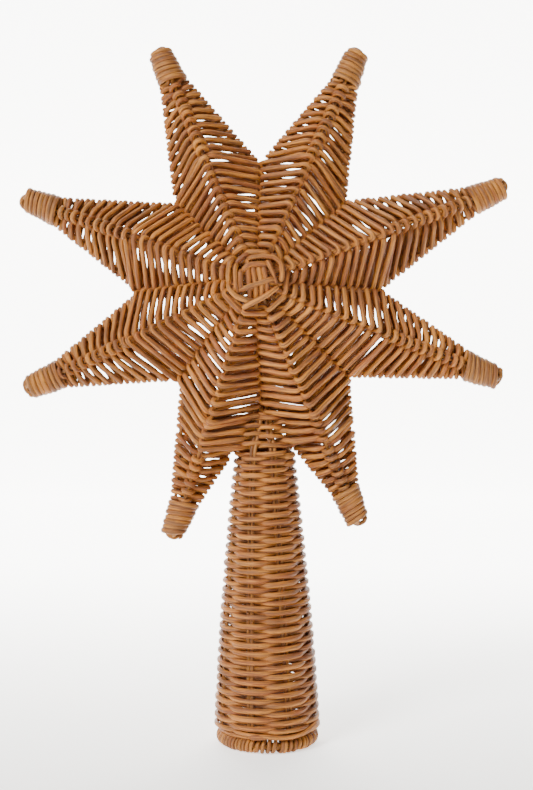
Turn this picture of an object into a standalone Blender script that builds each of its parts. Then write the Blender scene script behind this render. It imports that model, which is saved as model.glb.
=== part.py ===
"""Rattan star tree topper: a hollow woven eight-armed star on a hollow woven cone.

The origin is on the ground under the star's middle, +Z is up, and the star's front faces -Y. The
cone and its hoop stand a little to the right of the origin, as the real one leans.
All lengths are in metres and all angles in degrees.
"""

import math

import bmesh
import bpy
from mathutils import Vector

# Star: eight arms round a middle, woven front and back
STAR_CENTRE_HEIGHT = 0.2260
STAR_SHIFT_X = -0.0006
HUB_SHIFT_X = -0.0030
HUB_SHIFT_Z = 0.0010
HUB_RADIUS = 0.0080
HUB_DEPTH = 0.0358
STAR_RADIUS = 0.1300
VALLEY_RADIUS = 0.477 * STAR_RADIUS
# Arms and valleys go round anticlockwise from the right, as the front shows them. A handmade star
# is uneven, so each is a little longer or shorter than its radius and has its own lean in degrees.
ARM_UNEVEN = (0.0028, -0.0013, 0.0013, -0.0008, -0.0006, 0.0009, -0.0035, -0.0021)
ARM_LEAN = (-0.1, 0.3, 0.7, 3.0, -0.8, 3.0, -0.6, 2.0)
VALLEY_UNEVEN = (-0.0017, -0.0009, 0.0020, -0.0016, 0.0043, -0.0003, 0.0005, 0.0032)
VALLEY_LEAN = (-1.8, 1.3, 1.1, 1.4, 2.0, 3.0, 0.0, -1.6)
ARM_REACH = tuple(STAR_RADIUS + uneven for uneven in ARM_UNEVEN)
VALLEY_REACH = tuple(VALLEY_RADIUS + uneven for uneven in VALLEY_UNEVEN)
VALLEY_DEPTH = 0.0042
ROOT_SHARE = 0.607
STAR_WALL = 0.0030
FACE_ROWS = 14
ARM_ROWS = 10
ROW_RELIEF = 0.0004

# Arm ends and their bindings
BINDING_LENGTH = 0.0165
BINDING_START_RADIUS = 0.0075
BINDING_END_RADIUS = 0.0055
BINDING_TURNS = 6
BINDING_RELIEF = 0.00035
EDGE_HALF_THICKNESS = 0.0032
CORE_RADIUS = 0.0030
KNOB_LENGTH = 0.0032
KNOB_RADIUS = 0.0045
KNOB_END_SHARE = 0.55
BINDING_SIDES = 8

# Cone: one weaver over and under seven double stakes
CONE_SHIFT_X = 0.0020
CONE_FOOT_RADIUS = 0.0253
CONE_SHOULDER_RADIUS = 0.0133
CONE_SHOULDER_DROP = 0.0770
CONE_BULGE = 0.0011
CONE_WALL = 0.0052
CONE_STAKES = 7
CONE_FRONT_STAKE = -16.0
CONE_ROW = 0.00445
CONE_RELIEF = 0.0009
NECK_WIDTH_RADIUS = 0.0128
NECK_DEPTH_RADIUS = 0.0070
NECK_ENTRY = 0.0130
NECK_WALL = 0.0025

# Base hoop, wound with reed
HOOP_TUBE_RADIUS = 0.0035
HOOP_WRAPS = 26
HOOP_RELIEF = 0.00035
HOOP_SIDES = 8

# Crossing of the stakes at the hub
CROSSING_WIDTH = 0.0150
CROSSING_HEIGHT = 0.0100
CROSSING_STAKES = 4
CROSSING_STAKE_RADIUS = 0.0012
CROSSING_STAKE_FILL = 0.48

# Finish: stained rattan under a satin lacquer, as linear red, green and blue
WEAVER_COLOUR = (0.50, 0.23, 0.085)
REED_COLOUR = (0.53, 0.26, 0.10)
STAKE_COLOUR = (0.56, 0.30, 0.13)
SATIN_ROUGHNESS = 0.5

CLEARANCE = 0.0003
ARMS = 8
SPOKES = 2 * ARMS
FRONT = -1
BACK = 1

# The hollow's lines are drawn in by the wall times these, as its faces slope
FACE_INSET = 1.35
VALLEY_INSET = 1.5
EDGE_INSET = 1.07
HOLLOW_EDGE_SHARE = 0.64
HOLLOW_SHARE = 0.8


def turned(degrees, length):
    """A point in the star's plane, as (x, depth, z), with no depth."""
    angle = math.radians(degrees)
    return Vector((length * math.cos(angle), 0.0, length * math.sin(angle)))


def lines_of(inset):
    """The straight lines that carry the weave, as end points (x, depth, z) from the star's centre.

    With no inset they lie on the outside. The star's hollow has them drawn in by the wall.
    """
    hub_depth = HUB_DEPTH - FACE_INSET * inset
    hub = Vector((HUB_SHIFT_X, hub_depth, HUB_SHIFT_Z))
    valleys = []
    for k in range(ARMS):
        angle = 360 / ARMS * k + VALLEY_LEAN[k]
        start = hub + turned(360 / ARMS * k, HUB_RADIUS)
        end = turned(angle, VALLEY_REACH[k]) + Vector((0, VALLEY_DEPTH, 0))
        if inset:
            kept = 1 - VALLEY_INSET * inset / VALLEY_REACH[k]
            outer = start + Vector((0, FACE_INSET * inset, 0))
            end = outer.lerp(end, kept) - Vector((0, FACE_INSET * inset, 0))
        valleys.append((start, end))
    ridges = []
    ends = []
    for k in range(ARMS):
        nominal = 360 / ARMS * (k + 0.5)
        angle = nominal + ARM_LEAN[k]
        start = hub + turned(nominal, HUB_RADIUS)
        middle = turned(angle, ARM_REACH[k] - KNOB_LENGTH - BINDING_LENGTH)
        top = middle + Vector((0, BINDING_START_RADIUS - FACE_INSET * inset, 0))
        ridges.append((start, start.lerp(top, ROOT_SHARE), top))
        side = turned(angle + 90, BINDING_START_RADIUS - EDGE_INSET * inset)
        thickness = Vector((0, EDGE_HALF_THICKNESS * (HOLLOW_EDGE_SHARE if inset else 1.0), 0))
        ends.append((middle - side + thickness, middle + side + thickness))
    return valleys, ridges, ends


def set_point(bm, point, side):
    """A vertex on the front or the back: the point's depth becomes -Y or +Y."""
    return bm.verts.new((point.x, side * point.y, point.z))


def join_rings(bm, ring, following):
    for i in range(len(ring)):
        j = (i + 1) % len(ring)
        bm.faces.new((ring[i], ring[j], following[j], following[i]))


def rows_of(count, relief):
    """Shares along a line for each groove and each crest of its rows, with how far each stands out."""
    if not relief:
        return [(share / 2, 0.0) for share in range(3)]
    steps = [(0.0, -relief)]
    for row in range(count):
        steps.append(((row + 0.5) / count, relief))
        steps.append(((row + 1) / count, -relief))
    return steps


def star_form(name, inset, relief):
    """The star's outside, or with an inset its hollow, lofted row by row from the hub to the arm ends."""
    bm = bmesh.new()
    valleys, ridges, ends = lines_of(inset)
    stands_out = {}
    last = {}
    for side in (FRONT, BACK):
        ring = None
        for share, push in rows_of(FACE_ROWS, relief):
            following = []
            for k in range(ARMS):
                for line in (valleys[k], ridges[k][:2]):
                    vert = set_point(bm, line[0].lerp(line[1], share), side)
                    stands_out[vert] = push
                    following.append(vert)
            if ring:
                join_rings(bm, ring, following)
            else:
                bm.faces.new(following)
            ring = following
        last[side] = ring
    for k in range(ARMS):
        here, ridge, after = 2 * k, 2 * k + 1, (2 * k + 2) % SPOKES
        starts = (valleys[k][1], ridges[k][1], valleys[(k + 1) % ARMS][1])
        stops = (ends[k][0], ridges[k][2], ends[k][1])
        front = [last[FRONT][i] for i in (here, ridge, after)]
        back = [last[BACK][i] for i in (after, ridge, here)]
        ring = front + back
        for share, push in rows_of(ARM_ROWS, relief)[1:]:
            if inset:
                share *= HOLLOW_SHARE
            points = [a.lerp(b, share) for a, b in zip(starts, stops)]
            following = [set_point(bm, p, FRONT) for p in points]
            following += [set_point(bm, p, BACK) for p in reversed(points)]
            for vert in following:
                stands_out[vert] = push
            join_rings(bm, ring, following)
            ring = following
        if not inset:
            ring = arm_core(bm, ring, k)
        bm.faces.new(ring)
    bmesh.ops.recalc_face_normals(bm, faces=bm.faces)
    bm.normal_update()
    for vert, push in stands_out.items():
        vert.co += vert.normal * push
    centre = Vector((STAR_SHIFT_X, 0, STAR_CENTRE_HEIGHT))
    bmesh.ops.translate(bm, verts=bm.verts, vec=centre)
    return object_from(bm, name)


def arm_core(bm, ring, k):
    """The bundled stake ends: a slim core through the binding, bent over as a blunt knob beyond it."""
    angle = 360 / ARMS * (k + 0.5) + ARM_LEAN[k]
    out = turned(angle, 1.0)
    across = turned(angle + 90, 1.0)
    reach = ARM_REACH[k]
    sections = (
        (reach - KNOB_LENGTH - BINDING_LENGTH, CORE_RADIUS),
        (reach - KNOB_LENGTH + CLEARANCE, CORE_RADIUS),
        (reach - KNOB_LENGTH + 2 * CLEARANCE, KNOB_RADIUS),
        (reach - KNOB_LENGTH * (1 - KNOB_END_SHARE), KNOB_RADIUS),
        (reach, KNOB_END_SHARE * KNOB_RADIUS),
    )
    for distance, radius in sections:
        following = []
        for turn in (-150, -90, -30, 30, 90, 150):
            width = -radius * math.cos(math.radians(turn))
            depth = radius * math.sin(math.radians(turn))
            point = out * distance + across * width
            following.append(bm.verts.new((point.x, depth, point.z)))
        following = matched(ring, following)
        join_rings(bm, ring, following)
        ring = following
    return ring


def matched(ring, following):
    """The second ring's vertices in the order that lies nearest to the first ring's."""
    best = None
    for order in (following, following[::-1]):
        for shift in range(len(order)):
            trial = order[shift:] + order[:shift]
            length = sum((a.co - b.co).length for a, b in zip(ring, trial))
            if best is None or length < best[0]:
                best = (length, trial)
    return best[1]


def object_from(bm, name):
    mesh = bpy.data.meshes.new(name)
    bm.to_mesh(mesh)
    bm.free()
    mesh.shade_smooth()
    mesh.set_sharp_from_angle(angle=math.radians(40))
    return bpy.data.objects.new(name, mesh)


def cone_column(turn, width, depth):
    """A point round the cone, on an oval of these half sizes. A turn of 0 faces the front."""
    return Vector((width * math.sin(math.radians(turn)), -depth * math.cos(math.radians(turn)), 0))


def eased(share):
    share = min(max(share, 0.0), 1.0)
    return share * share * (3 - 2 * share)


def cone_foot():
    return 2 * HOOP_TUBE_RADIUS + CLEARANCE


def neck_heights():
    """Heights of the shoulder, of the star's lowest valley, and of the neck's end inside the star."""
    bottom_valley = 3 * ARMS // 4
    valley = STAR_CENTRE_HEIGHT - VALLEY_REACH[bottom_valley]
    return STAR_CENTRE_HEIGHT - CONE_SHOULDER_DROP, valley, valley + NECK_ENTRY


def cone_oval(height):
    """Half width and half depth of the cone's outside at this height, between its crests and grooves."""
    shoulder, valley, end = neck_heights()
    taper = (height - cone_foot()) / (shoulder - cone_foot())
    taper = min(taper, 1.0)
    straight = CONE_FOOT_RADIUS + (CONE_SHOULDER_RADIUS - CONE_FOOT_RADIUS) * taper
    straight += 4 * CONE_BULGE * taper * (1 - taper)
    flattened = eased((height - shoulder) / (valley - shoulder))
    width = straight + (NECK_WIDTH_RADIUS - CONE_SHOULDER_RADIUS) * flattened
    depth = straight + (NECK_DEPTH_RADIUS - CONE_SHOULDER_RADIUS) * flattened
    return width, depth


def cone_ring(bm, height, grown, parity=None):
    """A ring of two vertices a stake, grown by this much. With a parity, it goes over every other stake."""
    width, depth = cone_oval(height)
    ring = []
    for column in range(2 * CONE_STAKES):
        push = grown
        if parity is not None and column % 2 == 0:
            push += CONE_RELIEF if (column // 2 + parity) % 2 else -CONE_RELIEF
        turn = CONE_FRONT_STAKE + 180 / CONE_STAKES * column
        point = cone_column(turn, width + push, depth + push)
        ring.append(bm.verts.new((point.x + CONE_SHIFT_X, point.y, height)))
    return ring


def cone_sleeve():
    """The woven cone with its bore. It swells a little to the shoulder, then flattens into the star."""
    shoulder, valley, end = neck_heights()
    passes = round((end - cone_foot()) / (CONE_ROW / 2))
    step = (end - cone_foot()) / passes
    bm = bmesh.new()
    rings = [cone_ring(bm, cone_foot() + step * n, 0.0, parity=n) for n in range(passes + 1)]
    for height, wall in ((end, NECK_WALL), (valley, NECK_WALL), (shoulder, CONE_WALL)):
        rings.append(cone_ring(bm, height, -wall))
    rings.append(cone_ring(bm, cone_foot(), -CONE_WALL))
    for ring, following in zip(rings, rings[1:] + rings[:1]):
        join_rings(bm, ring, following)
    bmesh.ops.recalc_face_normals(bm, faces=bm.faces)
    return object_from(bm, "cone_sleeve")


def throat_cutter():
    """The room that the cone's neck takes up in the star, with its clearance."""
    shoulder, valley, end = neck_heights()
    bm = bmesh.new()
    below = shoulder - 2 * NECK_ENTRY
    heights = [below, shoulder]
    heights += [shoulder + (valley - shoulder) * n / 4 for n in (1, 2, 3, 4)]
    heights += [end + CLEARANCE]
    rings = [cone_ring(bm, height, CONE_RELIEF + CLEARANCE) for height in heights]
    for ring, following in zip(rings, rings[1:]):
        join_rings(bm, ring, following)
    bm.faces.new(rings[0])
    bm.faces.new(rings[-1])
    bmesh.ops.recalc_face_normals(bm, faces=bm.faces)
    return object_from(bm, "throat_cutter")


def tip_binding(k):
    """Reed wound round one arm's end, a tapered sleeve with a crest for each turn."""
    bm = bmesh.new()
    reach = ARM_REACH[k] - KNOB_LENGTH
    start = reach - BINDING_LENGTH + CLEARANCE
    inside = (CORE_RADIUS + CLEARANCE) / math.cos(math.pi / BINDING_SIDES)
    profile = [(start, inside)]
    for share, push in rows_of(BINDING_TURNS, BINDING_RELIEF):
        radius = BINDING_START_RADIUS + (BINDING_END_RADIUS - BINDING_START_RADIUS) * share
        profile.append((start + (reach - start) * share, radius + push))
    profile.append((reach, inside))
    rings = []
    for distance, radius in profile:
        ring = []
        for corner in range(BINDING_SIDES):
            angle = 2 * math.pi * (corner + 0.5) / BINDING_SIDES
            ring.append(bm.verts.new((distance, radius * math.cos(angle), radius * math.sin(angle))))
        rings.append(ring)
    for ring, following in zip(rings, rings[1:] + rings[:1]):
        join_rings(bm, ring, following)
    bmesh.ops.recalc_face_normals(bm, faces=bm.faces)
    binding = object_from(bm, f"tip_binding_{k + 1}")
    lean = 360 / ARMS * (k + 0.5) + ARM_LEAN[k]
    binding.rotation_euler = (0, -math.radians(lean), 0)
    binding.location = (STAR_SHIFT_X, 0, STAR_CENTRE_HEIGHT)
    return binding


def base_hoop():
    """The hoop at the cone's foot, with a crest for each wrap and a flat underside to stand on."""
    bm = bmesh.new()
    ring_radius = CONE_FOOT_RADIUS - HOOP_TUBE_RADIUS
    to_corner = HOOP_TUBE_RADIUS / math.cos(math.pi / HOOP_SIDES)
    rings = []
    for segment in range(2 * HOOP_WRAPS):
        turn = math.pi * segment / HOOP_WRAPS
        push = -HOOP_RELIEF * (segment % 2)
        ring = []
        for corner in range(HOOP_SIDES):
            angle = 2 * math.pi * (corner + 0.5) / HOOP_SIDES
            across = math.cos(angle)
            up = math.sin(angle)
            underside = abs(across) < 0.5 and up < 0
            grown = to_corner if underside else to_corner + push
            radius = ring_radius + across * grown
            x = CONE_SHIFT_X + radius * math.sin(turn)
            ring.append(bm.verts.new((x, -radius * math.cos(turn), HOOP_TUBE_RADIUS + up * grown)))
        rings.append(ring)
    for ring, following in zip(rings, rings[1:] + rings[:1]):
        join_rings(bm, ring, following)
    bmesh.ops.recalc_face_normals(bm, faces=bm.faces)
    return object_from(bm, "base_hoop")


def hub_crossing(name, side):
    """The upright stakes that cross the hub, side by side, as one ribbed outline raised upwards."""
    curve = bpy.data.curves.new(name, "CURVE")
    curve.dimensions = "2D"
    curve.fill_mode = "BOTH"
    curve.extrude = CROSSING_HEIGHT / 2
    outline = [(-CROSSING_WIDTH / 2, 0.0)]
    spacing = CROSSING_WIDTH / CROSSING_STAKES
    for stake in range(CROSSING_STAKES):
        middle = -CROSSING_WIDTH / 2 + spacing * (stake + 0.5)
        for step in range(5):
            angle = math.pi * (1 - step / 4)
            x = middle + CROSSING_STAKE_FILL * spacing * math.cos(angle)
            outline.append((x, CROSSING_STAKE_RADIUS * (0.5 + math.sin(angle))))
    outline.append((CROSSING_WIDTH / 2, 0.0))
    spline = curve.splines.new("POLY")
    spline.points.add(len(outline) - 1)
    for point, (x, y) in zip(spline.points, outline):
        point.co = (x, y, 0, 1)
    spline.use_cyclic_u = True
    crossing = bpy.data.objects.new(name, curve)
    base = HUB_DEPTH + CLEARANCE
    middle_x = STAR_SHIFT_X + HUB_SHIFT_X
    crossing.location = (middle_x, side * base, STAR_CENTRE_HEIGHT + HUB_SHIFT_Z)
    crossing.rotation_euler = (0, 0, math.pi if side == FRONT else 0)
    return crossing


def rattan(name, colour):
    material = bpy.data.materials.new(name)
    material.use_nodes = True
    shader = material.node_tree.nodes["Principled BSDF"]
    shader.inputs["Base Color"].default_value = (*colour, 1)
    shader.inputs["Roughness"].default_value = SATIN_ROUGHNESS
    shader.inputs["Metallic"].default_value = 0.0
    material.diffuse_color = (*colour, 1)
    return material


def cut(target, cutter):
    modifier = target.modifiers.new(cutter.name, "BOOLEAN")
    modifier.operation = "DIFFERENCE"
    modifier.solver = "EXACT"
    modifier.object = cutter


def main():
    for obj in list(bpy.data.objects):
        bpy.data.objects.remove(obj, do_unlink=True)
    parts = bpy.data.collections.new("rattan_star_tree_topper")
    cutters = bpy.data.collections.new("cutters")
    cutters.hide_render = True
    for collection in (parts, cutters):
        bpy.context.scene.collection.children.link(collection)

    star = star_form("star_body", 0.0, ROW_RELIEF)
    hollow = star_form("hollow_cutter", STAR_WALL, 0.0)
    throat = throat_cutter()
    for cutter in (hollow, throat):
        cutter.hide_render = True
        cutter.display_type = "WIRE"
        cutters.objects.link(cutter)
        cut(star, cutter)
    bindings = [tip_binding(k) for k in range(ARMS)]
    crossings = [hub_crossing("hub_crossing_front", FRONT), hub_crossing("hub_crossing_back", BACK)]

    woven = rattan("woven_rattan", WEAVER_COLOUR)
    wound = rattan("wound_reed", REED_COLOUR)
    stakes = rattan("rattan_stakes", STAKE_COLOUR)
    for obj in (star, cone_sleeve()):
        obj.data.materials.append(woven)
        parts.objects.link(obj)
    for obj in (*bindings, base_hoop()):
        obj.data.materials.append(wound)
        parts.objects.link(obj)
    for obj in crossings:
        obj.data.materials.append(stakes)
        parts.objects.link(obj)


main()
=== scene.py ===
"""Rattan star tree topper: a hollow star of paired weavers on stakes, on a hollow woven cone."""

import math

import bpy
import numpy as np
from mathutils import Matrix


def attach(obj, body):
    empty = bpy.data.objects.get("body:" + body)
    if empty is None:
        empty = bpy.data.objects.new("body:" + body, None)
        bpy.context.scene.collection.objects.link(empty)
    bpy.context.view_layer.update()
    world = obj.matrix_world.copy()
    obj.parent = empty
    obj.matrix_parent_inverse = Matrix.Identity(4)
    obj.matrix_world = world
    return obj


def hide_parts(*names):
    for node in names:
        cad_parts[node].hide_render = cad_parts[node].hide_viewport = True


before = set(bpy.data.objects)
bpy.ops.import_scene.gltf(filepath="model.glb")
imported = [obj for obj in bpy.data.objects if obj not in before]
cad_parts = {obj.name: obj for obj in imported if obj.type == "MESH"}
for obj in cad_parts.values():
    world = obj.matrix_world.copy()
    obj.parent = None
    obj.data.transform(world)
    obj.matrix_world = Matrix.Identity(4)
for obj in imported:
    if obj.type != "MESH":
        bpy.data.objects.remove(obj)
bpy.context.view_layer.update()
chance = np.random.default_rng(5)

# Star faces
# The star is round rattan core, stained honey brown and woven wet. On each side sixteen stakes run
# out from the hub, one to each valley and one to each arm's ridge. Two weavers twine round them:
# one is outside and the other inside, and they change places just past each stake.
ARMS = 8
ARM_TURN = 360 / ARMS
SPOKES = 2 * ARMS
STAR_CENTRE = np.array((-0.0006, 0.0, 0.2260))
DEPTHWISE = np.array((0.0, 1.0, 0.0))
# The hub is a little to the left of the star's centre and above it.
HUB_SHIFT = np.array((-0.0030, 0.0, 0.0010))
HUB_RADIUS = 0.0080
HUB_DEPTH = 0.0358
# For each arm, anticlockwise from the right: its length, and its lean in degrees from an even
# spacing. Then the same for the valley before each arm.
ARM_REACH = (0.1330, 0.1292, 0.1313, 0.1292, 0.1296, 0.1333, 0.1285, 0.1281)
ARM_LEAN = (0.2, 0.6, 1.0, 1.9, 0.5, 2.4, -0.2, 1.7)
VALLEY_REACH = (0.0607, 0.0618, 0.0642, 0.0624, 0.0638, 0.0628, 0.0625, 0.0634)
VALLEY_LEAN = (-0.7, 1.3, 1.1, 1.2, 1.8, 3.0, 0.0, -0.4)
VALLEY_DEPTH = 0.0042
# Where the binding starts: the ridges' height over the star's middle plane, and the way to the tip.
BINDING_START_DEPTH = 0.0075
BINDING_AND_KNOB = 0.0197
# The share of a ridge that the face's rows take up.
ROOT_SHARE = 0.607
FACE_ROWS = 14
WEAVER_RADIUS = 0.00124
STAKE_RADIUS = 0.00105
# How far the stakes' centre lines lie under the surface that the outside lines give.
STAKE_BELOW = 0.0034
# The rows round the hub are of a slightly thicker core, and the next ones thin out over this distance.
HUB_THICKER = 0.00018
THICKER_TO = 0.018
THINNED_OVER = 0.016
# Two weavers change places this far past a stake, a little sooner or later each time. The change
# takes this length either way.
CHANGE_AT = 0.0010
CHANGE_OFF = (-0.0007, 0.0009)
CHANGE_HALF = 0.0017
# How far a row wanders from its line.
WANDER = 0.00030
# Where both weavers pass outside a stake, the inner one comes up to this share of the outer one's
# height, over this distance either side.
HUG_LEVEL = 0.55
HUG_REACH = 0.0038
# The weave is drawn at points this far apart, with this many more round a sharp edge, and turns from
# one flat side to the next over this share of a side at each end.
WEAVE_SAMPLE = 0.0006
EDGE_SAMPLES = 6
CORNER_SHARE = 0.12
# A bent core's points are kept this far apart, and its bends are softened over this distance.
CORE_STEP = 0.0012
CORE_BLUR = 0.0007


def unit(vectors):
    return vectors / np.linalg.norm(vectors, axis=-1, keepdims=True)


def smooth(share):
    """An S-shaped rise from 0 to 1, level at both ends."""
    share = np.clip(share, 0.0, 1.0)
    return share * share * (3 - 2 * share)


def between(line, share):
    """The point at this share of the way along a straight line."""
    return line[0] + (line[1] - line[0]) * share


def turned(degrees, length):
    """A point in the star's plane at this angle from its middle, anticlockwise from the right."""
    angle = math.radians(degrees)
    return np.array((length * math.cos(angle), 0.0, length * math.sin(angle)))


def valley_point(k):
    """The bottom of valley k, in the star's middle plane, from the star's centre."""
    k %= ARMS
    return turned(ARM_TURN * k + VALLEY_LEAN[k], VALLEY_REACH[k])


def star_stakes(side):
    """Outside lines of the sixteen stakes of one side, and the ridges' tops. Side is -1 front, 1 back."""
    hub = STAR_CENTRE + HUB_SHIFT + side * HUB_DEPTH * DEPTHWISE
    stakes = []
    tops = []
    for k in range(ARMS):
        valley = STAR_CENTRE + valley_point(k) + side * VALLEY_DEPTH * DEPTHWISE
        stakes.append((hub + turned(ARM_TURN * k, HUB_RADIUS), valley))
        middle = ARM_TURN * (k + 0.5)
        top = STAR_CENTRE + turned(middle + ARM_LEAN[k], ARM_REACH[k] - BINDING_AND_KNOB)
        top = top + side * BINDING_START_DEPTH * DEPTHWISE
        start = hub + turned(middle, HUB_RADIUS)
        stakes.append((start, between((start, top), ROOT_SHARE)))
        tops.append(top)
    return np.array(stakes), np.array(tops)


def inner_lines(lines):
    """The stakes' centre lines, a little under the outside lines, met one after another."""
    count = len(lines)
    result = lines.copy()
    for end in (0, 1):
        for i in range(count):
            here, before, after = (lines[j % count] for j in (i, i - 1, i + 1))
            tilt = unit(here[1] - here[0])
            up = unit(np.cross(here[end] - before[end], tilt)) + unit(np.cross(after[end] - here[end], tilt))
            result[i, end] -= unit(up) * STAKE_BELOW
    return result


def lengths_along(points):
    """How far along a run each of its points is."""
    return np.concatenate(([0.0], np.cumsum(np.linalg.norm(np.diff(points, axis=0), axis=1))))


def even_steps(points, ups, step, blur):
    """The same run of points, evenly spaced and softened over the given length."""
    finer = 3
    fine = step / finer
    length = lengths_along(points)
    places = np.linspace(0.0, length[-1], max(int(length[-1] / fine), 8))
    points = np.stack([np.interp(places, length, points[:, c]) for c in range(3)], axis=1)
    ups = np.stack([np.interp(places, length, ups[:, c]) for c in range(3)], axis=1)
    reach = int(3 * blur / fine)
    weights = np.exp(-0.5 * (np.arange(-reach, reach + 1) * fine / blur) ** 2)
    weights /= weights.sum()
    for values in (points, ups):
        for c in range(3):
            padded = np.pad(values[:, c], reach, mode="edge")
            values[:, c] = np.convolve(padded, weights, mode="valid")
    return points[::finer], unit(ups[::finer])


def twined(
    lines, first, rounds, over, swing, shift, turning, changes=None, half=CHANGE_HALF, climbs=None,
    hugs=None,
):
    """One weaver of a twined pair, as points and outward directions.

    The lines are the stakes' centre lines in the order they are met. The weaver starts at the share
    `first` of their length and climbs by `turning` each round. It passes over the stakes of one
    parity and under the rest, `swing` from their centres, and the two weavers sit `shift` to either
    side of their row where they change places. `changes` has, for each line, how far past it that
    is, or how far before the next if below zero, and `half` is how long it takes either way.
    `climbs` has the share of a round's climb that is done at each line, and `hugs` has a 1 for each
    line that both weavers pass outside of.
    """
    count = len(lines)
    climbs = np.arange(count) / count if climbs is None else np.array(climbs)
    hugs = (0,) * count if hugs is None else hugs
    starts = lines[:, 0]
    along = lines[:, 1] - starts
    lengths = np.linalg.norm(along, axis=1)
    directions = along / lengths[:, None]

    def place(i, share):
        return starts[i % count] + along[i % count] * share

    def outward(i, share):
        across = place(i + 1, share) - place(i, share)
        return unit(np.cross(across, directions[i % count] + directions[(i + 1) % count]))

    points = []
    ups = []
    wander = chance.normal(0.0, WANDER, int(rounds * count) + 3)
    off = chance.uniform(*CHANGE_OFF, int(rounds * count) + 3)
    for g in range(int(round(rounds * count))):
        share0 = first + turning * (g // count + climbs[g % count])
        share1 = first + turning * ((g + 1) // count + climbs[(g + 1) % count])
        before, after, beyond = outward(g - 1, share0), outward(g, share0), outward(g + 1, share1)
        a, b = place(g, share0), place(g + 1, share1)
        width = np.linalg.norm(b - a)
        level = swing if (g + over) % 2 == 0 else -swing
        corner = unit(before + after)
        next_corner = unit(after + beyond)
        # Over a stake on an outer edge the weaver swings round it, with points of its own.
        swings_round = np.dot(after - before, b - a) > 0 and level > 0
        next_swings_round = np.dot(beyond - after, b - a) > 0 and level < 0
        if swings_round:
            for turn in np.linspace(0, 1, EDGE_SAMPLES, endpoint=False):
                up = unit(before * (1 - turn) + after * turn)
                points.append(place(g, share0 + wander[g] / lengths[g % count]) + up * level)
                ups.append(up)
        centre = CHANGE_AT + off[g] if changes is None else changes[g % count]
        if abs(centre) > 0.5 * width:
            centre = 0.5 * width
        elif centre < 0:
            centre += width
        reach = min(half, 0.5 * width)
        samples = max(int(width / WEAVE_SAMPLE), 6)
        for u in np.arange(samples) / samples:
            if swings_round and u == 0:
                continue
            lift = level * (1 - 2 * smooth((u * width - centre + reach) / (2 * reach)))
            near = hugs[g % count] * (1 - smooth(u * width / HUG_REACH))
            near = max(near, hugs[(g + 1) % count] * (1 - smooth((1 - u) * width / HUG_REACH)))
            lift += near * max(HUG_LEVEL * swing - lift, 0.0)
            middle = centre / width
            apart = smooth(u / middle) if u < middle else smooth((1 - u) / (1 - middle))
            apart *= -shift if level > 0 else shift
            aside = apart + wander[g] * (1 - u) + wander[g + 1] * u
            share = share0 + (share1 - share0) * u
            on_this = place(g, share + aside / lengths[g % count])
            on_next = place(g + 1, share + aside / lengths[(g + 1) % count])
            up = after
            if u < CORNER_SHARE and not swings_round:
                up = unit(between((corner, after), u / CORNER_SHARE))
            if u > 1 - CORNER_SHARE and not next_swings_round:
                up = unit(between((next_corner, after), (1 - u) / CORNER_SHARE))
            points.append(between((on_this, on_next), u) + up * lift)
            ups.append(up)
    return np.array(points), np.array(ups)


def woven_core(points, ups, radius=WEAVER_RADIUS, step=CORE_STEP, blur=CORE_BLUR):
    """A bent core for cane_mesh, its points evened out and softened."""
    return (*even_steps(np.array(points), np.array(ups), step, blur), radius, 1.0)


# No core is even: its thickness wavers by up to about a quarter over this many points, and its cut
# ends are worn thinner and round.
WAVER_POINTS = 13
THICKNESS_WAVER = 0.28
END_THINNER = 0.62
END_ROUND = 0.5


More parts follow.
